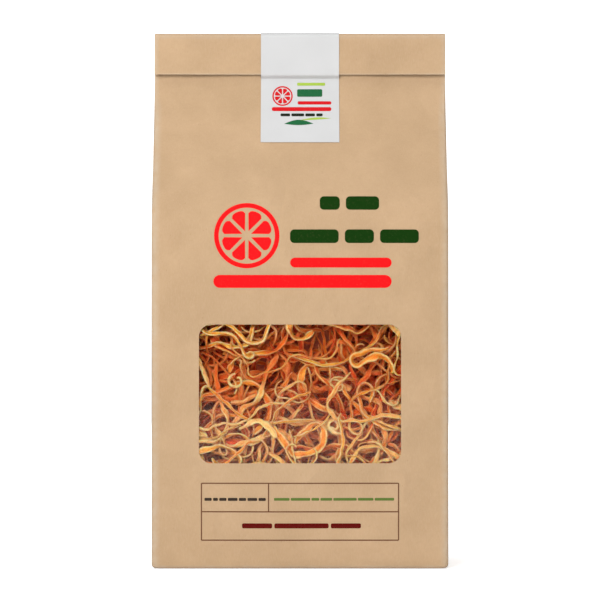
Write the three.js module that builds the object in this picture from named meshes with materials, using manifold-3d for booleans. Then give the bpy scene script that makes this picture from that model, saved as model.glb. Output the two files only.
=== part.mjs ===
// A block-bottom kraft paper bag of dried orange peel strips.
//
// The bag stands on its flat bottom with its front panel towards -Y. It is full up to its shoulder.
// Above that its front and back panels lean in and meet, its side gussets fold inwards between them,
// and the flattened mouth is folded forward into a flap that a paper label holds shut.
// A clear film closes a die-cut window in the front panel, and the peel strips show through it.
// Millimetres, +Z up. The origin is the middle of the bottom.

import * as THREE from "three";
import { mergeVertices } from "three/addons/utils/BufferGeometryUtils.js";
import Module from "manifold-3d";

const wasm = await Module();
wasm.setup();

// ---- Driving dimensions ----

const panelWidth = 120; // front and back panels
const baseDepth = 60; // side gussets, unfolded
const shoulderHeight = 144; // middle of the bend where the panels start to lean in
const shoulderBend = 8; // half the height of that bend
const pinchHeight = 196; // middle of the bend where the panels meet and turn upright again
const pinchBend = 6; // half the height of that bend
const topHeight = 218.5; // crest of the fold
const flapHeight = 17;
const paperWall = 0.5; // paper and its glue, thicker than the real 0.13 so that the wall is a sound solid
const gap = 0.3; // between pieces that touch
const edgeRadius = 1.6; // round of the upright and the bottom edges

const panelBulge = 2.2; // how far the contents push the middle of a panel out
const bulgeTop = 165; // height at which the panels are flat again
const bulgeFullness = 0.7; // below 1, the bulge rises quickly near its ends and is flat in its middle
const gussetCrease = 1.2; // depth of the crease down the middle of a filled side
const gussetCreaseRise = 25; // height over which that crease fades in from the bottom

const bandHalf = 0.7; // half the thickness of the flattened mouth
const flapThickness = 1.2;
const flapSlit = 0.3; // between the flap and the mouth behind it
const slitBelowTop = 3; // how far under the crest the slit ends

const windowWidth = 81.6;
const windowHeight = 56;
const windowCentreZ = 70.6;
const windowCorner = 5;
const filmMargin = 6; // how far the film reaches past the window, where it is glued
const filmThickness = 0.3;

const labelWidth = 32.2;
const labelThickness = 0.3;
const labelEndZ = 173; // lower edge of the label, front and back
const labelPress = 5; // how far under the flap the label leaves the front panel

const heapTop = 145; // height of the peel strips in the middle
const heapUnevenness = 1.3; // relief of the strips where they face the window
const cavityEndHalf = 3; // the bag's inside ends where its half depth is this

const reliefFade = 4; // width over which that relief fades out beside the film

const cornerSteps = 3; // segments in a round corner of the bag's outline
const gussetSteps = 3; // segments from a corner to the middle of the side
const bagFrontSteps = 5; // segments across half a panel
const heapFrontSteps = 10;
const straightStep = 15; // between rings where the bag's sides are straight
const bendStep = 4.2; // between rings where they bend
const heapStep = 5;
const filmColumns = 12;
const filmRows = 8;
const labelStep = 4; // between the label's points on a panel
const roundSteps = 5; // segments in a quarter of a round corner of the window
const foldSteps = 8; // segments in the half turn of the fold

// ---- Shape of the bag ----

const ramp = (value, from, to) => THREE.MathUtils.clamp((value - from) / (to - from), 0, 1);

const shoulderStart = shoulderHeight - shoulderBend;
const mouthBottom = pinchHeight + pinchBend;

// Nothing below -half, t above half, and a smooth bend between them.
function bentLine(t, half) {
  if (t < -half) return 0;
  return t < half ? (t + half) ** 2 / (4 * half) : t;
}

// Half the bag's depth at its upright edges: straight sides joined by the two bends.
function halfDepth(z) {
  const risen = bentLine(z - shoulderHeight, shoulderBend) - bentLine(z - pinchHeight, pinchBend);
  return THREE.MathUtils.lerp(baseDepth / 2, bandHalf, risen / (pinchHeight - shoulderHeight));
}

// How far a panel stands proud of the line between its edges.
function bulge(x, z) {
  const across = Math.max(0, Math.cos((Math.PI * x) / panelWidth));
  const up = Math.sin(Math.PI * ramp(z, 0, bulgeTop));
  return panelBulge * across * up ** bulgeFullness;
}

// Distance of the outer face of the front or back panel from the bag's middle plane.
const panelFace = (x, z) => halfDepth(z) + bulge(x, z);

// How far the middle of a side gusset is folded in. The gusset keeps its width, baseDepth.
function gussetInset(z) {
  const half = halfDepth(z);
  const folded = Math.sqrt(Math.max(0, (baseDepth / 2) ** 2 - half ** 2));
  return Math.max(folded, gussetCrease * ramp(z, 0, gussetCreaseRise));
}

// The quarter of the bag's outline at height z between the middle of the front panel and the middle of the
// right gusset, with the surface moved inwards by depth. The panel gets frontSteps points.
function quarterOutline(z, depth, frontSteps) {
  const side = panelWidth / 2;
  const half = halfDepth(z);
  const inset = gussetInset(z);
  const radius = Math.min(edgeRadius - depth, 0.6 * half);
  // The corner is where the panel and the gusset, both moved inwards, cross.
  const cornerX = side - (depth * (baseDepth / 2 + inset)) / half;
  const panel = Array.from({ length: frontSteps }, (_, i) => {
    const x = ((cornerX - radius) * i) / frontSteps;
    return [x, depth - panelFace(x, z)];
  });
  const corner = roundCorner(cornerX, depth - panelFace(cornerX, z), radius);
  const crease = [side - inset - (depth * baseDepth) / 2 / half, 0];
  const [lastX, lastY] = corner.at(-1);
  const gusset = Array.from({ length: gussetSteps }, (_, i) => {
    const share = (i + 1) / gussetSteps;
    return [THREE.MathUtils.lerp(lastX, crease[0], share), THREE.MathUtils.lerp(lastY, crease[1], share)];
  });
  return [...panel, ...corner, ...gusset];
}

// Points round a corner at (x, y) from its front side to its right side.
function roundCorner(x, y, radius) {
  return Array.from({ length: cornerSteps + 1 }, (_, i) => {
    const angle = (Math.PI / 2) * (i / cornerSteps);
    return [x - radius * (1 - Math.sin(angle)), y + radius * (1 - Math.cos(angle))];
  });
}

// How much the round bottom edge narrows the bag at height z, with the surface moved inwards by depth.
function bottomRound(z, depth) {
  const radius = edgeRadius - depth;
  const below = Math.max(0, radius - (z - depth));
  return radius > 0 ? radius - Math.sqrt(radius ** 2 - Math.min(below, radius) ** 2) : 0;
}

// The whole outline at height z, counterclockwise from above: the quarter mirrored twice.
function outline(z, depth, frontSteps) {
  const quarter = quarterOutline(z, depth, frontSteps);
  const right = [...quarter, ...quarter.slice(0, -1).reverse().map(([x, y]) => [x, -y])];
  const left = right.slice(1, -1).reverse().map(([x, y]) => [-x, y]);
  const narrowed = bottomRound(z, depth);
  const shareX = 1 - narrowed / (panelWidth / 2);
  const shareY = 1 - narrowed / (baseDepth / 2);
  return [...right, ...left].map(([x, y]) => [x * shareX, y * shareY, z]);
}

// ---- Making solids ----

// A closed geometry through rings of points, [x, y, z], which all have as many points. Its ends are closed by
// fans round firstPoint and lastPoint.
function loft(rings, firstPoint, lastPoint) {
  const count = rings[0].length;
  const positions = [...rings.flat(), firstPoint, lastPoint].flat();
  const first = rings.length * count;
  const faces = [];
  for (let i = 0; i < count; i++) {
    const next = (i + 1) % count;
    faces.push(first, next, i);
    for (let r = 0; r + 1 < rings.length; r++) {
      const low = r * count;
      const high = low + count;
      faces.push(low + i, low + next, high + next, low + i, high + next, high + i);
    }
    const last = (rings.length - 1) * count;
    faces.push(last + i, last + next, first + 1);
  }
  const geometry = new THREE.BufferGeometry();
  geometry.setAttribute("position", new THREE.Float32BufferAttribute(positions, 3));
  geometry.setIndex(faces);
  return geometry;
}

function toSolid(geometry) {
  const bare = geometry.clone();
  for (const name of ["normal", "uv"]) bare.deleteAttribute(name);
  const merged = mergeVertices(bare, 1e-4);
  return new wasm.Manifold(
    new wasm.Mesh({
      numProp: 3,
      vertProperties: new Float32Array(merged.attributes.position.array),
      triVerts: new Uint32Array(merged.index.array),
    }),
  );
}

function toGeometry(solid) {
  const { vertProperties, triVerts } = solid.getMesh();
  const geometry = new THREE.BufferGeometry();
  geometry.setAttribute("position", new THREE.BufferAttribute(vertProperties, 3));
  geometry.setIndex(new THREE.BufferAttribute(triVerts, 1));
  return geometry;
}

// An extrusion along X, centred on x = 0, of a shape whose own two coordinates are Y and Z.
function extrudeAcross(shape, width, curveSegments) {
  const geometry = new THREE.ExtrudeGeometry(shape, { depth: width, bevelEnabled: false, curveSegments });
  const axes = new THREE.Matrix4().set(0, 0, 1, -width / 2, 1, 0, 0, 0, 0, 1, 0, 0, 0, 0, 0, 1);
  return geometry.applyMatrix4(axes);
}

// Heights at even steps of about step, with both ends.
function heights(from, to, step) {
  const count = Math.max(1, Math.round((to - from) / step));
  return Array.from({ length: count + 1 }, (_, i) => from + ((to - from) * i) / count);
}

// ---- Bag ----

// Heights for rings of the bag from its bottom to top, closer together where its edges curve.
function bagLevels(depth, top) {
  const radius = edgeRadius - depth;
  return [
    depth,
    depth + 0.13 * radius,
    depth + 0.5 * radius,
    ...heights(edgeRadius, shoulderStart, straightStep),
    ...heights(shoulderStart, top, bendStep).slice(1),
  ];
}

function bagShell() {
  const rings = bagLevels(0, mouthBottom).map((z) => outline(z, 0, bagFrontSteps));
  return loft(rings, [0, 0, 0], [0, 0, mouthBottom]);
}

function bagCavity() {
  const end = heights(shoulderHeight, mouthBottom, 0.5).find((z) => halfDepth(z) < cavityEndHalf);
  const rings = bagLevels(paperWall, end).map((z) => outline(z, paperWall, bagFrontSteps));
  return loft(rings, [0, 0, paperWall], [0, 0, end]);
}

const flapBack = -bandHalf - flapSlit; // y of the flap's inner face
const flapFace = flapBack - flapThickness; // y of its outer face
const flapEndZ = topHeight - flapHeight;
const foldRadius = (bandHalf - flapFace) / 2;
const foldCentreY = (bandHalf + flapFace) / 2;
const foldCentreZ = topHeight - foldRadius;
const mouthOverlap = 2; // how far the mouth reaches down into the bag, so that the two join

// The flattened mouth, standing up from where the panels meet, and the flap folded forward over it.
function foldedMouth() {
  const foot = mouthBottom - mouthOverlap;
  const slitTop = topHeight - slitBelowTop;
  const section = new THREE.Shape();
  section.moveTo(bandHalf, foot);
  section.lineTo(bandHalf, foldCentreZ);
  section.absarc(foldCentreY, foldCentreZ, foldRadius, 0, Math.PI, false);
  section.lineTo(flapFace, flapEndZ);
  section.lineTo(flapBack, flapEndZ);
  section.lineTo(flapBack, slitTop);
  section.lineTo(-bandHalf, slitTop);
  section.lineTo(-bandHalf, foot);
  return extrudeAcross(section, panelWidth, foldSteps / 2);
}

function roundedRectangle(width, height, radius) {
  const [w, h] = [width / 2, height / 2];
  const shape = new THREE.Shape();
  shape.moveTo(-w + radius, -h);
  shape.lineTo(w - radius, -h);
  shape.absarc(w - radius, -h + radius, radius, -Math.PI / 2, 0, false);
  shape.lineTo(w, h - radius);
  shape.absarc(w - radius, h - radius, radius, 0, Math.PI / 2, false);
  shape.lineTo(-w + radius, h);
  shape.absarc(-w + radius, h - radius, radius, Math.PI / 2, Math.PI, false);
  shape.lineTo(-w, -h + radius);
  shape.absarc(-w + radius, -h + radius, radius, Math.PI, 1.5 * Math.PI, false);
  return shape;
}

// The die-cut hole, which goes through the front panel only.
function windowCutter() {
  const hole = new THREE.ExtrudeGeometry(roundedRectangle(windowWidth, windowHeight, windowCorner), {
    depth: baseDepth / 2,
    bevelEnabled: false,
    curveSegments: roundSteps,
  });
  return hole.rotateX(Math.PI / 2).translate(0, -baseDepth / 4, windowCentreZ);
}

function paperBag() {
  const bag = toSolid(bagShell())
    .subtract(toSolid(bagCavity()))
    .add(toSolid(foldedMouth()))
    .subtract(toSolid(windowCutter()));
  return toGeometry(bag);
}

// ---- Window film, glued behind the front panel and bent with it ----

function windowFilm() {
  const geometry = new THREE.BoxGeometry(
    windowWidth + 2 * filmMargin,
    filmThickness,
    windowHeight + 2 * filmMargin,
    filmColumns,
    1,
    filmRows,
  ).translate(0, 0, windowCentreZ);
  const at = geometry.attributes.position;
  const middle = paperWall + gap + filmThickness / 2;
  for (let i = 0; i < at.count; i++) {
    at.setY(i, at.getY(i) - panelFace(at.getX(i), at.getZ(i)) + middle);
  }
  return geometry;
}

// ---- Peel strips: one heap that fills the bag, uneven where it faces the window and on top ----

// A repeatable unevenness, from 0 to 1, of the heap at (a, b).
function unevenness(a, b) {
  const waves = Math.sin(0.41 * a + 1.3) + Math.sin(0.53 * b - 0.21 * a) + Math.sin(0.33 * (a + b) + 2.1);
  return (waves + 3) / 6;
}

const heapRimHeight = shoulderStart - 2; // the heap's top starts to dome here
const domeRings = [
  { share: 0.94, rise: 3 },
  { share: 0.75, rise: 6 },
  { share: 0.5, rise: 8 },
  { share: 0.25, rise: 9 },
];
const domeUnevenness = 3;

function peelHeap() {
  const clearance = paperWall + gap + filmThickness + gap;
  const filmHalfX = windowWidth / 2 + filmMargin;
  const filmHalfZ = windowHeight / 2 + filmMargin;
  const rings = heights(clearance, heapRimHeight, heapStep).map((z) =>
    outline(z, clearance, heapFrontSteps).map(([x, y]) => {
      const besideFilm = ramp(filmHalfX - Math.abs(x), 0, reliefFade);
      const levelWithFilm = ramp(filmHalfZ - Math.abs(z - windowCentreZ), 0, reliefFade);
      const relief = y < 0 ? besideFilm * levelWithFilm * unevenness(x, z) : 0;
      return [x, y + heapUnevenness * relief, z];
    }),
  );
  // The top: the last ring drawn in step by step towards the middle, and rising.
  const rim = rings.at(-1);
  for (const { share, rise } of domeRings) {
    rings.push(
      rim.map(([x, y, z]) => {
        const bump = domeUnevenness * (unevenness(x * share, y * share) - 0.5);
        return [x * share, y * share, z + rise + bump];
      }),
    );
  }
  return loft(rings, [0, 0, clearance], [0, 0, heapTop]);
}

// ---- Closure label: a paper strip over the fold, down the front and down the back ----

// Where the label's inner face lies: [y, z] from its lower front edge, over the fold, to its lower back edge.
function labelRoute(lift) {
  const front = heights(labelEndZ, flapEndZ - labelPress, labelStep).map((z) => [-panelFace(0, z) - lift, z]);
  const radius = foldRadius + lift;
  const over = Array.from({ length: foldSteps + 1 }, (_, i) => {
    const angle = Math.PI * (1 - i / foldSteps);
    return [foldCentreY + radius * Math.cos(angle), foldCentreZ + radius * Math.sin(angle)];
  });
  const back = heights(labelEndZ, mouthBottom, labelStep).reverse().map((z) => [panelFace(0, z) + lift, z]);
  return [...front, [flapFace - lift, flapEndZ - lift], ...over, ...back];
}

function closureLabel() {
  const steepness = 1.3; // on the sloping panels a lift along Y is larger than the one square to them
  const inner = labelRoute(gap * steepness);
  const outer = labelRoute((gap + labelThickness) * steepness);
  const section = new THREE.Shape([...outer.reverse(), ...inner].map(([y, z]) => new THREE.Vector2(y, z)));
  return extrudeAcross(section, labelWidth, 1);
}

// ---- Parts ----

const kraftPaper = new THREE.MeshStandardMaterial({ color: 0xcfae88, roughness: 0.85, metalness: 0 });
const clearFilm = new THREE.MeshStandardMaterial({
  color: 0xffffff,
  roughness: 0.05,
  metalness: 0,
  transparent: true,
  opacity: 0.2,
});
const driedPeel = new THREE.MeshStandardMaterial({ color: 0xc87a34, roughness: 0.6, metalness: 0 });
const labelPaper = new THREE.MeshStandardMaterial({ color: 0xe6e6e4, roughness: 0.6, metalness: 0 });

function part(name, geometry, material) {
  const mesh = new THREE.Mesh(geometry, material);
  mesh.name = name;
  return mesh;
}

const pack = new THREE.Group();
pack.add(part("paper_bag", paperBag(), kraftPaper));
pack.add(part("window_film", windowFilm(), clearFilm));
pack.add(part("peel_strips", peelHeap(), driedPeel));
pack.add(part("closure_label", closureLabel(), labelPaper));

export default pack;
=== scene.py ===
"""A block-bottom kraft paper bag of dried orange peel strips, for Blender 4.5.

The bag stands on its flat bottom with its front panel towards -Y. It is one sheet of paper, creased into a tube
with side gussets, whose flattened mouth is folded forward and held by a paper label. A clear film closes the
window in its front panel, and the peel strips lie against the film. The print is plain shapes only.

Shapes are worked out in millimetres, in the frame's axes, and turned into metres when a mesh is made.
"""

import math

import bmesh
import bpy
import numpy as np
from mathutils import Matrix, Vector, noise


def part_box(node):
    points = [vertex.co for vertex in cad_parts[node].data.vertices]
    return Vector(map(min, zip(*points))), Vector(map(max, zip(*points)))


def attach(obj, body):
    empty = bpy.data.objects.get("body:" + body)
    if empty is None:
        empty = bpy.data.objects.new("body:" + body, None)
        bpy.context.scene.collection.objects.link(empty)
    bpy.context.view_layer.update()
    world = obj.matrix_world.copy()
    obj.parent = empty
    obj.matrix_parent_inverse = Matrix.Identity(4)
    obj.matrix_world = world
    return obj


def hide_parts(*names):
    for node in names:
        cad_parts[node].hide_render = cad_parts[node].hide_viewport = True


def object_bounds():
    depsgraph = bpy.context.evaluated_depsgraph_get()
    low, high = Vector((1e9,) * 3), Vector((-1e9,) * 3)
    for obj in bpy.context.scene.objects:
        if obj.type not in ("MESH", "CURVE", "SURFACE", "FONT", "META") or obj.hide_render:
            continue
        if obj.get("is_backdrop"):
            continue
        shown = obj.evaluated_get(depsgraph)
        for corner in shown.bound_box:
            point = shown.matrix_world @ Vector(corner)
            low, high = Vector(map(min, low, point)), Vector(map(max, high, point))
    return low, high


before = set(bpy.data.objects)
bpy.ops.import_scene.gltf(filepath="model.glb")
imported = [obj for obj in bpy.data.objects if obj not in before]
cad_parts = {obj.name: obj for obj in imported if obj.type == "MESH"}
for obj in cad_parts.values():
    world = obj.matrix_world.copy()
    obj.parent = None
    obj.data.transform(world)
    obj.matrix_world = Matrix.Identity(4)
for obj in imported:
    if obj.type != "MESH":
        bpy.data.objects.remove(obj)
CAD_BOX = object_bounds()

MM = 0.001


def box_mm(node):
    """Lowest and highest corner of a CAD node, in millimetres."""
    low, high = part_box(node)
    return np.array(low) / MM, np.array(high) / MM


# ---- Sizes in millimetres: from the frame where it holds them, otherwise as in the CAD source ----

BAG_LOW, BAG_HIGH = box_mm("paper_bag")
FILM_LOW, FILM_HIGH = box_mm("window_film")
LABEL_LOW, LABEL_HIGH = box_mm("closure_label")

SIDE = BAG_HIGH[0]  # x of the bag's right edge
TOP = BAG_HIGH[2]
BASE_HALF = 30  # half the depth of the filled bag
SHOULDER = 144  # middle of the bend where the panels start to lean in
SHOULDER_BEND = 8  # half the height of that bend
PINCH = 196  # middle of the bend where they meet and turn upright again
PINCH_BEND = 6
MOUTH = PINCH + PINCH_BEND  # where the flattened mouth starts
FLAP_HEIGHT = 17
FLAP_END = TOP - FLAP_HEIGHT  # lower edge of the flap
EDGE_RADIUS = 1.6  # round of the upright and the bottom edges
PANEL_BULGE = 2.2
BULGE_TOP = 165
GUSSET_CREASE = 1.2  # depth of the crease in a filled side
GUSSET_CREASE_RISE = 25

PAPER = 0.18  # thickness of the paper
LAYER_OUTER = 0.56  # where the front and back panels lie in the flattened mouth, from its middle
LAYER_INNER = 0.12  # where the gusset's two layers lie in it
FOLD_RADIUS = 0.86  # of the middle of the mouth, round the fold
FOLD_CENTRE_Z = TOP - FOLD_RADIUS - LAYER_OUTER
FLAP_SPRING = 1.0  # how far the flap's free ends stand off

FILM_MARGIN = 6  # how far the film reaches past the window
WINDOW_HALF_X = FILM_HIGH[0] - FILM_MARGIN
WINDOW_HALF_Z = (FILM_HIGH[2] - FILM_LOW[2]) / 2 - FILM_MARGIN
WINDOW_Z = (FILM_HIGH[2] + FILM_LOW[2]) / 2
WINDOW_CORNER = 5
FILM_DEPTH = 0.28  # film's face behind the paper's face
FILM = 0.06  # thickness of the film

# ---- Helpers ----


def smoothstep(t):
    t = np.clip(t, 0, 1)
    return t * t * (3 - 2 * t)


def new_object(name, vertices, faces):
    """A mesh object from vertices in millimetres."""
    mesh = bpy.data.meshes.new(name)
    mesh.from_pydata([tuple(v) for v in np.asarray(vertices, float) * MM], [], faces)
    mesh.update()
    piece = bpy.data.objects.new(name, mesh)
    bpy.context.scene.collection.objects.link(piece)
    return piece


def bake_modifiers(piece):
    """Makes what the piece's modifiers give its own mesh."""
    evaluated = piece.evaluated_get(bpy.context.evaluated_depsgraph_get())
    mesh = bpy.data.meshes.new_from_object(evaluated)
    piece.modifiers.clear()
    old = piece.data
    piece.data = mesh
    bpy.data.meshes.remove(old)


def shade_smooth(piece, angle=35):
    piece.data.shade_smooth()
    piece.data.set_sharp_from_angle(angle=math.radians(angle))


def thicken(piece, thickness, offset=-1):
    solidify = piece.modifiers.new("thickness", "SOLIDIFY")
    solidify.thickness = thickness * MM
    solidify.offset = offset
    solidify.use_even_offset = False
    bake_modifiers(piece)


def finish_piece(piece, material, node=None):
    piece.data.materials.clear()
    piece.data.materials.append(material)
    if node:
        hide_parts(node)
    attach(piece, "root")


# ---- Shape of the bag ----


def bent_line(t, half):
    """Nothing below -half, t above half, and a smooth bend between them."""
    return np.clip(t + half, 0, 2 * half) ** 2 / (4 * half) + np.maximum(t - half, 0)


def half_depth(z):
    """Half the bag's depth at its upright edges: straight sides joined by the two bends."""
    risen = bent_line(z - SHOULDER, SHOULDER_BEND) - bent_line(z - PINCH, PINCH_BEND)
    return BASE_HALF + (LAYER_OUTER - BASE_HALF) * risen / (PINCH - SHOULDER)


def bulge(x, z):
    """How far a panel stands proud of the line between its edges."""
    across = np.maximum(0, np.cos(math.pi * x / (2 * SIDE)))
    up = np.sin(math.pi * np.clip(z / BULGE_TOP, 0, 1))
    return PANEL_BULGE * across * np.maximum(up, 0) ** 0.7


def waviness(a, b, seed):
    """Soft dents of handled paper at (a, b) on a panel, about -1 to 1."""
    broad = noise.noise(Vector((a / 34, b / 46, seed)))
    fine = noise.noise(Vector((a / 13, b / 17, seed + 7.3)))
    return broad + 0.3 * fine


FRONT_SEED = 1.0
BACK_SEED = 5.0
DENT = 0.6  # depth of the dents
CALM_BAND = 25  # height over which they fade out towards the mouth


def panel_offset(x, z, seed=FRONT_SEED):
    """Distance of the outer face of a panel from the bag's middle plane, at (x, z) below the mouth."""
    free = max(0.0, 1 - (x / SIDE) ** 2)
    calm = 1 - smoothstep((z - MOUTH + CALM_BAND) / CALM_BAND)
    low = smoothstep(z / (CALM_BAND / 2))
    return half_depth(z) + bulge(x, z) + DENT * free * calm * low * waviness(x, z, seed)


def front_point(x, z, lift=0.0):
    """The point of the front panel at (x, z), lifted off its face."""
    return (x, -panel_offset(x, z) - lift, z)


def gusset_inset(z):
    """How far the middle of a side gusset is folded in."""
    half = half_depth(z)
    folded = math.sqrt(max(0, BASE_HALF**2 - half**2))
    return max(folded, GUSSET_CREASE * min(1, z / GUSSET_CREASE_RISE))


PANEL_STEPS = 60
GUSSET_STEPS = 14
CORNER_STEPS = 4
CREASE_STEPS = 2

LAP = 0.2  # step of the glued lap down the back panel
LAP_X = -6  # where the lap's free edge is
LAP_END = 178  # above this the lap is under the label and left out


def lap(x, z):
    """How much the back panel's outer layer stands proud at (x, z) because of the lap under it."""
    if x < LAP_X:
        return 0.0
    fade = min(1, (SIDE - x) / (SIDE - 6))
    return LAP * fade * float(1 - smoothstep((z - LAP_END + 5) / 5))


def side_section(z):
    """The right side's outline at height z from the front corner to the middle crease, as (x, n).

    n is the distance from the bag's middle plane, negative towards the front.
    """
    half = float(half_depth(z))
    inset = gusset_inset(z)
    outer = min(EDGE_RADIUS, (LAYER_OUTER - LAYER_INNER) / 2 + 0.25 * (half - LAYER_OUTER))
    inner = min(0.4, LAYER_INNER + 0.1 * (half - LAYER_OUTER))
    slant = math.atan2(inset, half)
    points = []
    for i in range(CORNER_STEPS + 1):
        turn = (math.pi / 2 + slant) * i / CORNER_STEPS
        points.append((SIDE - outer + outer * math.sin(turn), outer - half - outer * math.cos(turn)))
    start = points[-1]
    end = (SIDE - inset + inner * (1 - math.cos(slant)), -inner * math.sin(slant))
    for i in range(1, GUSSET_STEPS + 1):
        share = i / GUSSET_STEPS
        points.append((start[0] + (end[0] - start[0]) * share, start[1] + (end[1] - start[1]) * share))
    for i in range(1, CREASE_STEPS + 1):
        turn = slant * (1 - i / CREASE_STEPS)
        points.append((SIDE - inset + inner * (1 - math.cos(turn)), -inner * math.sin(turn)))
    return points


def section(z):
    """The bag's whole outline at height z, counterclockwise from above, as (x, n)."""
    side = side_section(z)
    right = side + [(x, -n) for x, n in side[-2::-1]]
    left = [(-x, -n) for x, n in right]
    reach = side[0][0]
    across = [reach * (2 * i / PANEL_STEPS - 1) for i in range(1, PANEL_STEPS)]
    across_back = sorted([-x for x in across] + [LAP_X - 0.1, LAP_X + 0.1], reverse=True)
    front = [(x, -panel_offset(x, z, FRONT_SEED)) for x in across]
    back = [(x, panel_offset(x, z, BACK_SEED) + lap(x, z)) for x in across_back]
    return front + right + back + left


BOTTOM_LIFT = 0.3  # the bottom's middle stands this far off the floor, on the flaps glued under it
PANEL_ROWS = 108
FOLD_STEPS = 10


def bottom_edge_rows():
    """Rows of the round bottom edge, from the middle of the bottom outwards and up."""
    rim = EDGE_RADIUS + 1.5
    rows = [(rim, BOTTOM_LIFT)]
    for i in range(4):
        turn = math.pi / 2 * i / 4
        rows.append((EDGE_RADIUS * (1 - math.sin(turn)), EDGE_RADIUS * (1 - math.cos(turn))))
    for inset, z in rows:
        share_x = 1 - inset / SIDE
        share_y = 1 - inset / BASE_HALF
        yield [(x * share_x, n * share_y, z) for x, n in section(z)]


def fold_row(turn, drop):
    """A row of the folded mouth: turned forward round the fold, and drop below the fold's centre."""
    for x, n in section(MOUTH):
        spring = FLAP_SPRING * smoothstep((abs(x) - 18) / 30) * (drop / FLAP_HEIGHT) ** 2
        y = FOLD_RADIUS * (math.cos(turn) - 1) + n * math.cos(turn) - spring
        z = FOLD_CENTRE_Z + (FOLD_RADIUS + n) * math.sin(turn) - drop
        yield (float(x), float(y), float(z))


def bag_rows():
    """The bag's rows of points from the middle of the bottom to the flap's edge, and how worn each row is."""
    rows = list(bottom_edge_rows())
    worn = [0.0] + [0.7] * (len(rows) - 1)
    for z in np.linspace(EDGE_RADIUS, FOLD_CENTRE_Z, PANEL_ROWS):
        rows.append([(x, n, z) for x, n in section(z)])
        worn.append(0.0)
    for i in range(1, FOLD_STEPS + 1):
        rows.append(list(fold_row(math.pi * i / FOLD_STEPS, 0)))
        worn.append(0.6)
    flap_reach = FOLD_CENTRE_Z - FLAP_END
    for drop in flap_reach * np.array([0.1, 0.25, 0.4, 0.55, 0.7, 0.85, 0.95, 1.0]):
        rows.append(list(fold_row(math.pi, drop)))
        worn.append(0.0)
    worn[-1] = 1.0
    return rows, worn


def set_attribute(mesh, name, values):
    attribute = mesh.attributes.new(name, "FLOAT", "POINT")
    attribute.data.foreach_set("value", np.asarray(values, np.float32))


def rounded_rectangle(half_x, half_z, radius, steps=12):
    """Corner points of a rounded rectangle round the origin, counterclockwise."""
    points = []
    for corner in range(4):
        sign_x = (1, -1, -1, 1)[corner]
        sign_z = (1, 1, -1, -1)[corner]
        for i in range(steps + 1):
            turn = math.pi / 2 * (corner + i / steps)
            x = sign_x * (half_x - radius) + radius * math.cos(turn)
            z = sign_z * (half_z - radius) + radius * math.sin(turn)
            points.append((x, z))
    return points


def cut_window(bag):
    outline = rounded_rectangle(WINDOW_HALF_X, WINDOW_HALF_Z, WINDOW_CORNER)
    count = len(outline)
    vertices = [(x, y, z + WINDOW_Z) for y in (-BASE_HALF - 8, -BASE_HALF + 8) for x, z in outline]
    faces = [list(range(count)), list(range(2 * count - 1, count - 1, -1))]
    faces += [[(i + 1) % count, i, count + i, count + (i + 1) % count] for i in range(count)]
    cutter = new_object("window_cutter", vertices, faces)
    cut = bag.modifiers.new("window", "BOOLEAN")
    cut.operation = "DIFFERENCE"
    cut.solver = "EXACT"
    cut.object = cutter
    bake_modifiers(bag)
    bpy.data.objects.remove(cutter)


def corner_wear():
    """1 for the columns of the outline that lie on a crease or a corner, and 0 elsewhere."""
    side = [1.0] * (CORNER_STEPS + 1) + [0.0] * (GUSSET_STEPS - 1) + [1.0] * (CREASE_STEPS + 1)
    flank = side + side[-2::-1]
    front = [0.0] * (PANEL_STEPS - 1)
    back = [0.0] * (PANEL_STEPS + 1)
    return front + flank + back + flank


def make_bag():
    rows, worn = bag_rows()
    columns = len(rows[0])
    vertices = [point for row in rows for point in row]
    faces = [list(range(columns))[::-1]]
    for r in range(len(rows) - 1):
        for i in range(columns):
            j = (i + 1) % columns
            low = r * columns
            faces.append([low + i, low + j, low + columns + j, low + columns + i])
    bag = new_object("bag_paper", vertices, faces)
    set_attribute(bag.data, "wear", np.maximum.outer(worn, corner_wear()).ravel())
    thicken(bag, PAPER)
    cut_window(bag)
    shade_smooth(bag)
    return bag


# ---- Window film ----


def grid_faces(rows, columns):
    faces = []
    for r in range(rows - 1):
        for c in range(columns - 1):
            first = r * columns + c
            faces.append([first, first + 1, first + columns + 1, first + columns])
    return faces


def make_film():
    xs = np.linspace(FILM_LOW[0], FILM_HIGH[0], 48)
    zs = np.linspace(FILM_LOW[2], FILM_HIGH[2], 35)
    vertices = [front_point(x, z, -FILM_DEPTH) for z in zs for x in xs]
    film = new_object("film_pane", vertices, grid_faces(len(zs), len(xs)))
    thicken(film, FILM)
    shade_smooth(film)
    return film


# ---- Closure label ----

LABEL = 0.2  # thickness of the label
LABEL_LIFT = 0.12  # between the label and the paper
LABEL_DIP = 1.9  # height over which the label is pressed in under the flap's edge


def label_front(x, z):
    """y of the label's inner face in front: on the sloping panel, then out over the flap's lower edge."""
    on_panel = -float(panel_offset(x, z, FRONT_SEED)) - LABEL_LIFT
    on_flap = -2 * FOLD_RADIUS - LAYER_OUTER - LABEL_LIFT
    return on_panel + (on_flap - on_panel) * float(smoothstep((z - FLAP_END + LABEL_DIP) / LABEL_DIP))


def label_back(x, z):
    """y of the label's inner face behind, where it lies on the back panel and the end of its lap."""
    return float(panel_offset(x, z, BACK_SEED)) + lap(x, z) + LABEL_LIFT


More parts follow.
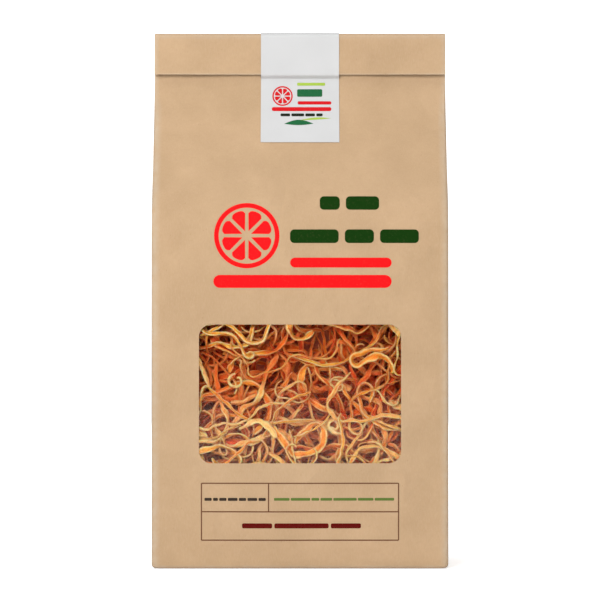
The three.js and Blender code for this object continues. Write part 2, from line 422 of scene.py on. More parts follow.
def label_column(x):
    """The label's inner face at x, as (x, y, z), from its lower front edge over the fold to its lower back edge."""
    end = LABEL_LOW[2]
    dip = FLAP_END - LABEL_DIP
    heights = [*np.linspace(end, dip - 1, 18), *np.linspace(dip, FLAP_END + 0.2, 10)]
    heights += [*np.linspace(FLAP_END + 1, FOLD_CENTRE_Z, 6)]
    column = [(x, label_front(x, z), z) for z in heights]
    radius = FOLD_RADIUS + LAYER_OUTER + LABEL_LIFT
    for i in range(1, 12):
        turn = math.pi * (1 - i / 12)
        column.append((x, -FOLD_RADIUS + radius * math.cos(turn), FOLD_CENTRE_Z + radius * math.sin(turn)))
    return column + [(x, label_back(x, z), z) for z in np.linspace(FOLD_CENTRE_Z, end, 36)]


def make_label():
    half = (LABEL_HIGH[0] - LABEL_LOW[0]) / 2
    xs = sorted([*np.linspace(-half, half, 17), LAP_X - 0.1, LAP_X + 0.1])
    columns = [label_column(x) for x in xs]
    count = len(columns[0])
    vertices = [column[i] for i in range(count) for column in columns]
    label = new_object("label_paper", vertices, grid_faces(count, len(xs)))
    thicken(label, LABEL, offset=1)
    shade_smooth(label, 60)
    return label


# ---- Peel strips ----

STRIP_FRONT = FILM_DEPTH + FILM + 0.08  # nearest a strip comes to the panel's face
STRIP_MARGIN = 12  # how far the strips reach past the window
CELL = 0.5  # of the map of how deep the strips already lie
STEP = 0.9  # between a strip's rings
STRIP_COUNT = 720
FRONT_COUNT = 440  # of them lie in front and are golden or orange, and most of the others behind are brown: painted shade deeper in the heap
BRIDGES = 24  # of them lie right behind the film, and cross the hollows of the heap
STRIP_SEED = 42

# Outline of a strip's section, counterclockwise: across it and through its thickness, both from -1 to 1.
# The rims stand a little proud of the middle.
SECTION = np.array(
    [(1, 0.35), (0.74, 1), (0, 0.7), (-0.74, 1), (-1, 0.35), (-1, -0.35), (-0.7, -0.95), (0.7, -0.95), (1, -0.35)]
)
RING = len(SECTION)


class DepthMap:
    """How deep behind the film the strips placed so far reach."""

    def __init__(self):
        self.low_x = -WINDOW_HALF_X - STRIP_MARGIN - 12
        self.low_z = WINDOW_Z - WINDOW_HALF_Z - STRIP_MARGIN - 12
        size_x = int(-2 * self.low_x / CELL) + 1
        size_z = int(2 * (WINDOW_Z - self.low_z) / CELL) + 1
        self.depth = np.zeros((size_x, size_z))

    def patch(self, x, z, radius):
        """The cells within radius of (x, z)."""
        i = int((x - self.low_x) / CELL)
        j = int((z - self.low_z) / CELL)
        r = max(1, round(radius / CELL))
        rows = slice(max(0, i - r), max(0, i + r + 1))
        columns = slice(max(0, j - r), max(0, j + r + 1))
        return self.depth[rows, columns]

    def reach(self, xs, zs, radii):
        """The deepest point already taken under each of a strip's rings."""
        patches = [self.patch(x, z, r) for x, z, r in zip(xs, zs, radii)]
        return np.array([p.max() if p.size else 0.0 for p in patches])

    def fill(self, xs, zs, radii, backs):
        for x, z, r, back in zip(xs, zs, radii, backs):
            patch = self.patch(x, z, r)
            np.maximum(patch, back, out=patch)


def smoothed(values, reach):
    """values with their neighbours blended in, reach samples each way."""
    kernel = np.hanning(2 * reach + 3)[1:-1]
    kernel /= kernel.sum()
    padded = np.pad(values, reach, mode="edge")
    return np.convolve(padded, kernel, mode="valid")


def strip_curvature(rng, count):
    """How sharply a strip turns along its length, per millimetre: crooked, with curls, kinks and often a hook."""
    s = np.arange(count) * STEP
    length = count * STEP
    curvature = rng.normal(0, 0.015) + smoothed(rng.normal(0, 0.1, count), 3)
    curvature += smoothed(rng.normal(0, 0.24, count), 1)
    for _ in range(rng.integers(0, 4)):
        centre = rng.uniform(0, length)
        spread = rng.uniform(2.5, 7)
        curvature += rng.normal(0, 0.16) * np.exp(-(((s - centre) / spread) ** 2))
    for _ in range(rng.integers(0, 3)):
        kink = rng.uniform(0, length)
        curvature += rng.choice([-1, 1]) * rng.uniform(0.2, 0.5) * np.exp(-(((s - kink) / 1.3) ** 2))
    if rng.random() < 0.35:
        end = rng.choice([0, length])
        hook = rng.choice([-1, 1]) * rng.uniform(0.16, 0.32)
        curvature += hook * np.exp(-(((s - end) / rng.uniform(6, 14)) ** 2))
    return curvature


def strip_roll(rng, curvature):
    """The strip's turn about its own length: 0 shows its rind, pi its pith, and a half turn between its edge.

    A strip bends easily only across its thickness, so it stands nearly on edge where its path turns sharply.
    """
    pith_up = rng.random() < 0.4
    base = math.pi if pith_up else 0
    lean = rng.normal(0, 0.5)
    on_edge = smoothstep((np.abs(smoothed(curvature, 3)) - 0.04) / 0.08)
    upright = math.pi / 2 - rng.uniform(0.05, 0.75)
    edge_roll = np.where(curvature > 0, -upright, upright)
    if pith_up:
        edge_roll = np.where(curvature > 0, math.pi + upright, math.pi - upright)
    twist = rng.normal(0, 0.45) * np.linspace(-1, 1, len(curvature))
    flat_roll = base + lean + twist + smoothed(rng.normal(0, 0.5, len(curvature)), 4)
    return smoothed(flat_roll + (edge_roll - flat_roll) * on_edge, 4)


HOLLOW = 6  # deepest hollow of the heap behind the film
PACKED = WINDOW_Z - 8  # below this the strips are packed closely


def looseness(z):
    """0 in the lower part of the window, where the heap is packed closely, rising to 1 in the upper part."""
    return float(smoothstep((z - PACKED + 8) / 16))


def hollow(x, z):
    """How far the heap is hollowed out behind the film at (x, z)."""
    return HOLLOW * looseness(z) * max(0.0, 0.1 + 1.9 * noise.noise(Vector((x / 13, z / 9, 3.3))))


def settle(reach, wanted, stiffness):
    """Depths along a strip that stay behind what is already there, bending only gently."""
    floor = np.maximum(reach, wanted)
    depth = floor
    for _ in range(5):
        depth = np.maximum(floor, smoothed(depth, stiffness))
    return smoothed(depth, 2)


def open_spot(rng, depth_map, tries=6):
    """The shallowest of a few random places."""
    reach_x = WINDOW_HALF_X + STRIP_MARGIN
    reach_z = WINDOW_HALF_Z + STRIP_MARGIN
    spots = [(rng.uniform(-reach_x, reach_x), WINDOW_Z + rng.uniform(-reach_z, reach_z)) for _ in range(tries)]
    return min(spots, key=lambda spot: depth_map.patch(*spot, 5).mean())


def seen_stretch(xs, zs, middle):
    """The stretch round the middle of a strip that lies behind the window or within the margin round it."""
    inside = (np.abs(xs) < WINDOW_HALF_X + STRIP_MARGIN) & (np.abs(zs - WINDOW_Z) < WINDOW_HALF_Z + STRIP_MARGIN)
    outside = np.flatnonzero(~inside)
    first = outside[outside < middle].max(initial=-1) + 1
    last = outside[outside > middle].min(initial=len(xs))
    return slice(max(first, 0), max(last, first + 4))


def strip_path(rng, depth_map):
    """A strip's path in the panel's plane, and its curvature."""
    broken = rng.random() < 0.2
    length = rng.uniform(9, 22) if broken else rng.uniform(26, 80)
    count = int(length / STEP)
    curvature = strip_curvature(rng, count)
    lying = rng.random() < 0.6  # most strips settle nearly level
    heading = rng.normal(0.12, 0.4) + math.pi * rng.integers(2) if lying else rng.uniform(0, 2 * math.pi)
    headings = np.cumsum(curvature) * STEP
    headings += heading - headings[count // 2]
    xs = np.cumsum(np.cos(headings)) * STEP
    zs = np.cumsum(np.sin(headings)) * STEP
    middle = count // 2
    spot_x, spot_z = open_spot(rng, depth_map)
    xs += spot_x - xs[middle]
    zs += spot_z - zs[middle]
    kept = seen_stretch(xs, zs, middle)
    return xs[kept], zs[kept], curvature[kept]


def make_strip(rng, depth_map, index):
    """One strip: its rings of points, and for each ring how deep it lies in the heap."""
    xs, zs, curvature = strip_path(rng, depth_map)
    count = len(xs)
    roll = strip_roll(rng, curvature)
    from_end = np.minimum(np.arange(count), np.arange(count)[::-1]) * STEP
    taper = 0.5 + 0.5 * np.minimum(1, from_end / 2.5)
    wobble = 1 + 0.7 * smoothed(rng.normal(0, 0.5, count), 2)
    broad = rng.random() < 0.16
    width = (rng.uniform(2.2, 3.3) if broad else 0.65 + 1.6 * rng.random() ** 1.5) * taper * wobble
    thick = rng.uniform(0.55, 1.0) * np.sqrt(taper) * (1 + 0.4 * smoothed(rng.normal(0, 0.5, count), 2))
    seen = np.hypot(width * np.cos(roll), thick * np.sin(roll)) / 2
    deep = np.hypot(width * np.sin(roll), thick * np.cos(roll))

    wave = np.sin(np.linspace(0, rng.uniform(2, 8), count) + rng.uniform(0, 6))
    slack = 0.25 + 1.55 * looseness(zs[count // 2])
    wanted = rng.uniform(0, slack) * (1 + wave) * min(1, index / 60)
    if index > BRIDGES:
        wanted = wanted + [hollow(x, z) for x, z in zip(xs, zs)]
    front = settle(depth_map.reach(xs, zs, 0.8 * seen), wanted, 4)
    depth_map.fill(xs, zs, 0.8 * seen, front + 0.9 * deep)
    ys = np.array([front_point(x, z)[1] for x, z in zip(xs, zs)]) + STRIP_FRONT + front + deep / 2
    return sweep_strip(np.stack([xs, ys, zs], 1), roll, width, thick, rng.uniform(-0.1, 0.22)), front


def sweep_strip(path, roll, width, thick, cupping):
    """Rings of SECTION along a path, its rims bent up by cupping times its width."""
    facing = np.array([0.0, -1.0, 0.0])
    tangent = np.gradient(path, axis=0)
    tangent /= np.linalg.norm(tangent, axis=1, keepdims=True)
    towards = facing - tangent * (tangent @ facing)[:, None]
    towards /= np.linalg.norm(towards, axis=1, keepdims=True)
    sideways = np.cross(tangent, towards)
    normal = np.cos(roll)[:, None] * towards + np.sin(roll)[:, None] * sideways
    across = np.cross(normal, tangent)
    rings = []
    for a, b in SECTION:
        sideways_share = (a * width / 2)[:, None]
        height = (b * thick / 2 + cupping * width * (a * a - 0.4))[:, None]
        rings.append(path + across * sideways_share + normal * height)
    return np.stack(rings, 1)


class StripKind:
    """The strips of one kind, gathered to be one mesh."""

    def __init__(self, name):
        self.name = name
        self.vertices = []
        self.faces = []
        self.attributes = {"rind": [], "across": [], "tone": [], "along": [], "deep": []}

    def add(self, rings, front, tone):
        count = len(rings)
        base = len(self.vertices)
        self.vertices += [tuple(p) for p in rings.reshape(-1, 3)]
        self.attributes["across"] += list(np.tile(SECTION[:, 0], count))
        self.attributes["rind"] += list(np.tile(SECTION[:, 1] / 2 + 0.5, count))
        self.attributes["tone"] += [tone] * (count * RING)
        self.attributes["along"] += list(np.repeat(np.arange(count) * STEP, RING))
        self.attributes["deep"] += list(np.repeat(np.minimum(1, front / DEEP), RING))
        for r in range(count - 1):
            for k in range(RING):
                low = base + r * RING
                following = (k + 1) % RING
                self.faces.append([low + k, low + RING + k, low + RING + following, low + following])
        self.faces.append([base + k for k in range(RING)])
        self.faces.append([base + (count - 1) * RING + k for k in range(RING)][::-1])

    def build(self):
        piece = new_object(self.name, self.vertices, self.faces)
        for name, values in self.attributes.items():
            set_attribute(piece.data, name, values)
        shade_smooth(piece, 80)
        return piece


DEEP = 6  # distance behind the film at which strips count as deep and get their full painted shade


def make_strips():
    rng = np.random.default_rng(STRIP_SEED)
    depth_map = DepthMap()
    kinds = [StripKind("strips_golden"), StripKind("strips_orange"), StripKind("strips_brown")]
    for index in range(STRIP_COUNT):
        rings, front = make_strip(rng, depth_map, index)
        # Strips behind the front ones are mostly brown, which is painted shade deeper in the heap.
        share = (0.48, 0.37, 0.15) if index < FRONT_COUNT else (0.15, 0.25, 0.6)
        kinds[rng.choice(3, p=share)].add(rings, front, rng.random())
    return [kind.build() for kind in kinds]


CORE_GAP = 15  # between the front panel and the core behind the strips


def make_core():
    """The unseen bulk of the heap, a lump a little smaller than the bag's inside."""
    rows = []
    levels = np.linspace(2, 132, 44)
    for z in levels:
        near = 1 - smoothstep((abs(z - WINDOW_Z) - WINDOW_HALF_Z - STRIP_MARGIN) / 8)
        row = []
        for i in range(96):
            turn = 2 * math.pi * i / 96
            x = (SIDE - 5) * np.sign(math.cos(turn)) * abs(math.cos(turn)) ** 0.35
            y = (BASE_HALF - 3) * np.sign(math.sin(turn)) * abs(math.sin(turn)) ** 0.35
            if y < 0:
                y += (CORE_GAP - 3) * near
            relief = 1.4 * noise.noise(Vector((x / 4, y / 4, z / 3)))
            row.append((x + relief, y + relief, z))
        rows.append(row)
    top = [[(x * s, y * s, 132 + 9 * (1 - s * s)) for x, y, _ in rows[-1]] for s in (0.8, 0.5, 0.2)]
    rows += top
    vertices = [p for row in rows for p in row]
    faces = [list(range(96))[::-1], [(len(rows) - 1) * 96 + i for i in range(96)]]
    for r in range(len(rows) - 1):
        for i in range(96):
            j = (i + 1) % 96
            faces.append([r * 96 + i, r * 96 + j, (r + 1) * 96 + j, (r + 1) * 96 + i])
    core = new_object("peel_core", vertices, faces)
    shade_smooth(core)
    return core


# ---- Print: plain shapes a hair above the paper ----

INK_LIFT = 0.04
INK = 0.02
INK_CELL = 2.5  # longest side of an ink shape's faces, so that it follows the paper


def bar(x0, x1, z0, z1, radius=0.0):
    """Outline of an upright rectangle, or one with round corners."""
    if radius == 0:
        return [(x0, z0), (x1, z0), (x1, z1), (x0, z1)]
    half_x = (x1 - x0) / 2
    half_z = (z1 - z0) / 2
    shape = rounded_rectangle(half_x, half_z, min(radius, half_x, half_z), 5)
    return [(x + (x0 + x1) / 2, z + (z0 + z1) / 2) for x, z in shape]


def words(x0, x1, z0, z1, lengths):
    """Bars in place of a line of words, whose relative lengths are given, from x0 to x1."""
    space = 0.45 * (z1 - z0)
    scale = (x1 - x0 - space * (len(lengths) - 1)) / sum(lengths)
    shapes = []
    x = x0
    for length in lengths:
        shapes.append(bar(x, x + length * scale, z0, z1, 0.3 * (z1 - z0)))
        x += length * scale + space
    return shapes


def ring_shape(x, z, outer, inner, steps=64):
    """A ring as two half rings, since an outline has no hole."""
    shapes = []
    for start in (0, math.pi):
        turns = [start + math.pi * i / (steps // 2) for i in range(steps // 2 + 1)]
        far = [(x + outer * math.cos(t), z + outer * math.sin(t)) for t in turns]
        near = [(x + inner * math.cos(t), z + inner * math.sin(t)) for t in reversed(turns)]
        shapes.append(far + near)
    return shapes


def slice_shape(x, z, radius, segments=8):
    """A cut citrus fruit: a rind ring with wedge segments inside."""
    shapes = ring_shape(x, z, radius, radius * 0.86)
    reach = radius * 0.78
    gap = radius * 0.055
    for k in range(segments):
        middle = 2 * math.pi * (k + 0.5) / segments
        half = math.pi / segments
        tip = gap / math.sin(half)
        outline = [(tip * math.cos(middle), tip * math.sin(middle))]
        spread = half - math.asin(gap / reach)
        for i in range(9):
            turn = middle - spread + 2 * spread * i / 8
            round_off = 1 - 0.12 * abs(i / 4 - 1) ** 4
            outline.append((reach * round_off * math.cos(turn), reach * round_off * math.sin(turn)))
        shapes.append([(x + a, z + b) for a, b in outline])
    return shapes


def leaf_shape(x0, z0, x1, z1, width):
    """A pointed leaf from one point to another."""
    along = Vector((x1 - x0, z1 - z0))
    across = Vector((-along.y, along.x)).normalized() * width
    near = [(t, math.sin(math.pi * t)) for t in np.linspace(0, 1, 12)]
    far = [(t, -0.35 * math.sin(math.pi * t)) for t in np.linspace(1, 0, 12)[1:-1]]
    return [(x0 + along.x * t + across.x * s, z0 + along.y * t + across.y * s) for t, s in near + far]


def lay_shapes(name, shapes, place, outward=(0, -1, 0), thickness=INK):
    """Flat shapes cut into small faces, laid on a surface by place, facing outward and given a thickness."""
    flat = bmesh.new()
    for shape in shapes:
        flat.faces.new([flat.verts.new((x, 0, z)) for x, z in shape])
    for axis in (0, 2):
        values = [v.co[axis] for v in flat.verts]
        normal = Vector((axis == 0, 0, axis == 2))
        for value in np.arange(math.floor(min(values)), max(values), INK_CELL):
            geometry = flat.verts[:] + flat.edges[:] + flat.faces[:]
            bmesh.ops.bisect_plane(flat, geom=geometry, plane_co=normal * float(value), plane_no=normal)
    for vertex in flat.verts:
        vertex.co = Vector([float(c) for c in place(vertex.co.x, vertex.co.z)]) * MM
    flat.normal_update()
    for face in flat.faces:
        if face.normal.dot(Vector(outward)) < 0:
            face.normal_flip()
    mesh = bpy.data.meshes.new(name)
    flat.to_mesh(mesh)
    flat.free()
    piece = bpy.data.objects.new(name, mesh)
    bpy.context.scene.collection.objects.link(piece)
    thicken(piece, thickness)
    return piece


def on_front(x, z):
    return front_point(x, z, INK_LIFT)


def red_shapes():
    shapes = slice_shape(-21.5, 134.5, 13.2)
    shapes.append(bar(-35, 37, 113.4, 118.6, 2.6))
    shapes.append(bar(-4, 37, 121.6, 125.6, 2.0))
    return shapes


def green_shapes():
    return words(8, 32, 145, 150.5, (3, 5)) + words(-4, 48, 131.5, 137, (5, 3, 4))


def frame_shapes():
    """Thin lines round the two rows of small print."""
    left, right, bottom, top = -39.8, 39.8, 11.5, 34.5
    row, column = 23.0, -12.7
    line = 0.24
    return [
        bar(left, right, top - line, top + line),
        bar(left, right, row - line, row + line),
        bar(left, right, bottom - line, bottom + line),
        bar(left - line, left + line, bottom, top),
        bar(right - line, right + line, bottom, top),
        bar(column - line, column + line, row, top),
    ]


def small_green_shapes():
    return words(-10.5, 38, 27.5, 28.6, (4, 5, 2, 3, 6, 4, 5))


def small_dark_shapes():
    return words(-38.6, -13.8, 27.4, 28.6, (3, 2, 3, 4, 3, 4, 3))


def small_red_shapes():
    return words(-23.4, 24.6, 16.3, 18.3, (5, 9, 5))


def on_label(x, z):
    return (x, label_front(x, z) - 1.15 * LABEL - INK_LIFT, z)


def label_red_shapes():
    return slice_shape(-7.2, 192.6, 4.2) + [bar(-11.6, 12.9, 186.2, 187.9, 0.8), bar(-1, 12.9, 189, 190.4, 0.6)]


def label_green_shapes():
    return [bar(-1.2, 9.2, 192.3, 195.5, 0.6), leaf_shape(-6.5, 180.8, 5.5, 180.9, 1.7)]


def label_lime_shapes():
    return [bar(-1.2, 10.4, 197, 198.2, 0.4), leaf_shape(0, 182.4, 12.9, 183.2, 0.7)]


def label_dark_shapes():
    return words(-8, 9.3, 184, 185.2, (3, 4, 3, 2))


# ---- Flaps glued under the bottom ----

BOTTOM_REACH_X = SIDE - EDGE_RADIUS - 2
BOTTOM_REACH_Y = BASE_HALF - EDGE_RADIUS - 2
BOTTOM_OVERLAP = 9  # how far a bottom flap reaches past the middle
BOTTOM_SHEET = 0.1


def bottom_flap(name, side, level):
    """A trapezoid flap folded in from the front (side -1) or the back (side 1), level above the floor."""
    reach = BOTTOM_REACH_Y + BOTTOM_OVERLAP
    tip = BOTTOM_REACH_X - reach
    near = side * BOTTOM_REACH_Y
    far = -side * BOTTOM_OVERLAP
    outline = [(-BOTTOM_REACH_X, near), (BOTTOM_REACH_X, near), (tip, far), (-tip, far)]
    return lay_shapes(name, [outline], lambda x, y: (x, y, level), (0, 0, -1), BOTTOM_SHEET)


# ---- Materials ----


def new_material(name):
    material = bpy.data.materials.new(name)
    material.use_nodes = True
    tree = material.node_tree
    tree.nodes.clear()
    output = tree.nodes.new("ShaderNodeOutputMaterial")
    return material, tree, output


def add(tree, kind, settings=(), **inputs):
    """A node with settings on itself and values or links on its inputs, underscores standing for spaces."""
    node = tree.nodes.new("ShaderNode" + kind)
    for key, value in dict(settings).items():
        setattr(node, key, value)
    for key, value in inputs.items():
        socket = node.inputs[int(key[1:])] if key[0] == "i" and key[1:].isdigit() else node.inputs[key.replace("_", " ")]
        if isinstance(value, bpy.types.NodeSocket):
            tree.links.new(value, socket)
        else:
            socket.default_value = value
    return node


def math_node(tree, operation, a, b=0.0, clamp=False):
    return add(tree, "Math", {"operation": operation, "use_clamp": clamp}, i0=a, i1=b).outputs[0]


def mix_colour(tree, factor, a, b, blend="MIX"):
    node = add(tree, "Mix", {"data_type": "RGBA", "blend_type": blend}, i0=factor, i6=a, i7=b)
    return node.outputs[2]


def stretch(tree, vector, scale):
    """Coordinates scaled by a different number on each axis."""
    return add(tree, "Mapping", Vector=vector, Scale=scale).outputs[0]


def noise_value(tree, vector, scale, detail=3.0, roughness=0.5):
    return add(tree, "TexNoise", Vector=vector, Scale=scale, Detail=detail, Roughness=roughness).outputs[0]


def map_range(tree, value, low, high, to_low=0.0, to_high=1.0):
    return add(
        tree, "MapRange", Value=value, From_Min=low, From_Max=high, To_Min=to_low, To_Max=to_high
    ).outputs[0]


def place_vector(tree):
    return add(tree, "TexCoord").outputs["Object"]


def attribute(tree, name):
    return add(tree, "Attribute", {"attribute_name": name}).outputs["Fac"]


def bumped(tree, height, strength, distance, under=None):
    """A normal bumped by height, on top of another where one is given."""
    inputs = {"Strength": strength, "Distance": distance, "Height": height}
    if under:
        inputs["Normal"] = under
    return add(tree, "Bump", **inputs).outputs[0]


def crumple_lines(tree, place, scale):
    """1 along a few short crooked lines where the paper was once bent, 0 elsewhere."""
    level = math_node(tree, "ABSOLUTE", math_node(tree, "SUBTRACT", noise_value(tree, place, scale, 2), 0.5))
    line = map_range(tree, level, 0.06, 0.0)
    here = map_range(tree, noise_value(tree, place, 1.7 * scale, 1), 0.54, 0.68)
    return math_node(tree, "MULTIPLY", line, here)


def gusset_creases(tree, place):
    """1 on the creases of the sides: down their middle, and slanting up from the bottom corners."""
    parts = add(tree, "SeparateXYZ", Vector=place).outputs
    x, y, z = (parts[k] for k in range(3))
    off_middle = math_node(tree, "ABSOLUTE", y)
    slant = math_node(tree, "SUBTRACT", math_node(tree, "ADD", off_middle, z), BASE_HALF * MM)
    nearest = math_node(tree, "MINIMUM", math_node(tree, "ABSOLUTE", slant), off_middle)
    on_side = map_range(tree, math_node(tree, "ABSOLUTE", x), (SIDE - 2.5) * MM, (SIDE - 1.5) * MM)
    return math_node(tree, "MULTIPLY", map_range(tree, nearest, 0.0006, 0.0001), on_side)


def kraft_material():
    material, tree, output = new_material("kraft_paper")
    place = place_vector(tree)
    cloud = noise_value(tree, place, 45, 4)
    blotch = noise_value(tree, place, 110, 3)
    fibres = noise_value(tree, stretch(tree, place, (2400, 2400, 600)), 1, 3, 0.6)
    pulp = noise_value(tree, place, 700, 3, 0.6)
    colour = mix_colour(
        tree, map_range(tree, cloud, 0.35, 0.65), (0.355, 0.236, 0.131, 1), (0.401, 0.269, 0.154, 1)
    )
    colour = mix_colour(tree, map_range(tree, blotch, 0.35, 0.7, 0, 0.25), colour, (0.347, 0.226, 0.127, 1))
    colour = mix_colour(tree, map_range(tree, fibres, 0.45, 0.7, 0, 0.18), colour, (0.486, 0.347, 0.226, 1))
    colour = mix_colour(tree, map_range(tree, pulp, 0.5, 0.3, 0, 0.15), colour, (0.312, 0.199, 0.109, 1))
    flecks = add(tree, "TexVoronoi", {"feature": "F1"}, Vector=stretch(tree, place, (900, 900, 500)), Scale=1)
    rare = map_range(tree, noise_value(tree, place, 420, 1), 0.6, 0.66)
    fleck = math_node(tree, "MULTIPLY", map_range(tree, flecks.outputs["Distance"], 0.2, 0.1), rare)
    colour = mix_colour(tree, math_node(tree, "MULTIPLY", fleck, 0.35), colour, (0.243, 0.139, 0.0693, 1))
    folds = gusset_creases(tree, place)
    bent = math_node(tree, "MAXIMUM", crumple_lines(tree, place, 26), folds)
    # Darker colour along the side creases and the crumple lines: painted shade in the creases.
    colour = mix_colour(tree, math_node(tree, "MULTIPLY", folds, 0.3), colour, (0.312, 0.199, 0.113, 1))
    colour = mix_colour(tree, math_node(tree, "MULTIPLY", bent, 0.12), colour, (0.312, 0.199, 0.113, 1))
    worn = math_node(tree, "MULTIPLY", attribute(tree, "wear"), noise_value(tree, place, 300, 2))
    colour = mix_colour(tree, math_node(tree, "MULTIPLY", worn, 0.9), colour, (0.416, 0.33, 0.243, 1))
    dents = bumped(tree, math_node(tree, "ADD", noise_value(tree, place, 60, 2), cloud), 0.75, 0.0018)
    creased = bumped(tree, bent, 0.75, 0.0007, dents)
    grain = bumped(tree, math_node(tree, "ADD", fibres, pulp), 0.3, 0.00007, creased)
    shader = add(
        tree, "BsdfPrincipled", Base_Color=colour, Roughness=0.78, Specular_IOR_Level=0.3, Normal=grain
    )
    tree.links.new(shader.outputs[0], output.inputs[0])
    return material


def label_material():
    material, tree, output = new_material("label_paper")
    place = place_vector(tree)
    tooth = noise_value(tree, place, 1400, 3)
    cloud = noise_value(tree, place, 60, 2)
    colour = mix_colour(tree, map_range(tree, cloud, 0.35, 0.65), (0.421, 0.421, 0.421, 1), (0.437, 0.437, 0.437, 1))
    bump = add(tree, "Bump", Strength=0.15, Distance=0.00005, Height=tooth)
    shader = add(
        tree, "BsdfPrincipled", Base_Color=colour, Roughness=0.5, Specular_IOR_Level=0.4, Normal=bump.outputs[0]
    )
    tree.links.new(shader.outputs[0], output.inputs[0])
    return material


PAPER_SHADE = (0.413, 0.275, 0.161)  # the kraft paper's, seen faintly through thin ink


def ink_material(name, colour):
    material, tree, output = new_material(name)
    place = place_vector(tree)
    speckle = noise_value(tree, place, 1200, 3)
    thin = tuple(0.95 * c + 0.05 * k for c, k in zip(colour, PAPER_SHADE))
    shade = mix_colour(tree, map_range(tree, speckle, 0.55, 0.85), (*colour, 1), (*thin, 1))
    shader = add(tree, "BsdfPrincipled", Base_Color=shade, Roughness=0.7, Specular_IOR_Level=0.05)
    tree.links.new(shader.outputs[0], output.inputs[0])
    return material


def film_material():
    material, tree, output = new_material("clear_film")
    place = place_vector(tree)
    ripple = noise_value(tree, stretch(tree, place, (30, 30, 60)), 1, 2)
    bump = add(tree, "Bump", Strength=0.3, Distance=0.0004, Height=ripple)
    slant = add(tree, "LayerWeight", Blend=0.5, Normal=bump.outputs[0]).outputs["Facing"]
    mirrored = math_node(tree, "MULTIPLY", math_node(tree, "POWER", slant, 5.0), 0.96)
    clear = add(tree, "BsdfTransparent", Color=(0.99, 0.99, 0.985, 1))
    gloss = add(tree, "BsdfAnisotropic", Color=(1, 0.72, 0.62, 1), Roughness=0.1, Normal=bump.outputs[0])
    share = math_node(tree, "ADD", mirrored, 0.02)
    mixed = add(tree, "MixShader", i0=share, i1=clear.outputs[0], i2=gloss.outputs[0])
    tree.links.new(mixed.outputs[0], output.inputs[0])
    return material


def strip_material(name, rind, pith, rim):
    """Dried peel: an orange rind on one face, paler pith on the other and at the rims, with painted shade in the
    grooves and painted shade that darkens it deeper down in the heap.
    """
    material, tree, output = new_material(name)
    place = place_vector(tree)
    side = attribute(tree, "rind")
    across = attribute(tree, "across")
    tone = attribute(tree, "tone")
    along = math_node(tree, "MULTIPLY", attribute(tree, "along"), 0.16)
    turned = math_node(tree, "ADD", across, math_node(tree, "MULTIPLY", side, 3.0))
    streaks = add(tree, "CombineXYZ", X=along, Y=turned, Z=math_node(tree, "MULTIPLY", tone, 90.0)).outputs[0]
    lines = noise_value(tree, streaks, 2.2, 4, 0.6)
    patch = noise_value(tree, place, 210, 3)
    pore = noise_value(tree, place, 1500, 2)
    rind_colour = mix_colour(tree, map_range(tree, lines, 0.35, 0.65), rind[0], rind[1])
    pith_colour = mix_colour(tree, map_range(tree, patch, 0.35, 0.65), pith[0], pith[1])
    face = math_node(tree, "ADD", side, map_range(tree, lines, 0, 1, -0.25, 0.25))
    colour = mix_colour(tree, map_range(tree, face, 0.3, 0.7), pith_colour, rind_colour)
    # Darker colour in the grooves of the bump: painted shade.
    groove_shade = math_node(tree, "MULTIPLY", map_range(tree, lines, 0.48, 0.4), map_range(tree, patch, 0.4, 0.6, 0.1, 0.6))
    colour = mix_colour(tree, groove_shade, colour, mix_colour(tree, 1.0, colour, (0.85, 0.42, 0.28, 1), "MULTIPLY"))
    reach = math_node(tree, "ADD", math_node(tree, "ABSOLUTE", across), map_range(tree, patch, 0, 1, -0.4, 0.4))
    rim_share = map_range(tree, reach, 0.45, 0.85, 0, 0.95)
    colour = mix_colour(tree, rim_share, colour, rim)
    dark = math_node(tree, "MULTIPLY", map_range(tree, tone, 0.55, 1), map_range(tree, patch, 0.45, 0.7))
    colour = mix_colour(tree, math_node(tree, "MULTIPLY", dark, 0.3), colour, (0.55, 0.08, 0.008, 1))
    blotch = map_range(tree, noise_value(tree, place, 520, 3, 0.6), 0.5, 0.66, 0, 0.75)
    colour = mix_colour(tree, blotch, colour, mix_colour(tree, 1.0, colour, (0.88, 0.6, 0.45, 1), "MULTIPLY"))
    # Darker and redder the deeper a strip lies behind the film: painted shade.
    deep = map_range(tree, attribute(tree, "deep"), 0.22, 0.95, 0, 1)
    colour = mix_colour(tree, deep, colour, mix_colour(tree, 1.0, colour, (1, 0.4, 0.24, 1), "MULTIPLY"))
    height = math_node(tree, "ADD", pore, math_node(tree, "MULTIPLY", lines, 4.0))
    bump = add(tree, "Bump", Strength=0.85, Distance=0.0005, Height=height)
    shader = add(
        tree,
        "BsdfPrincipled",
        Base_Color=colour,
        Roughness=map_range(tree, patch, 0.3, 0.7, 0.3, 0.5),
        Specular_IOR_Level=0.35,
        Subsurface_Weight=0.5,
        Subsurface_Radius=(1.0, 0.35, 0.1),
        Subsurface_Scale=0.0014,
        Normal=bump.outputs[0],
    )
    tree.links.new(shader.outputs[0], output.inputs[0])
    return material


def core_material():
    material, tree, output = new_material("peel_core")
    place = place_vector(tree)
    patch = noise_value(tree, place, 260, 4)
    # Dark maroon, much darker than the strips: painted shade of the heap's depths.
    colour = mix_colour(tree, map_range(tree, patch, 0.35, 0.65), (0.36, 0.035, 0.006, 1), (0.62, 0.11, 0.018, 1))
    bump = add(tree, "Bump", Strength=0.8, Distance=0.0012, Height=patch)
    shader = add(tree, "BsdfPrincipled", Base_Color=colour, Roughness=0.6, Normal=bump.outputs[0])
    tree.links.new(shader.outputs[0], output.inputs[0])
    return material


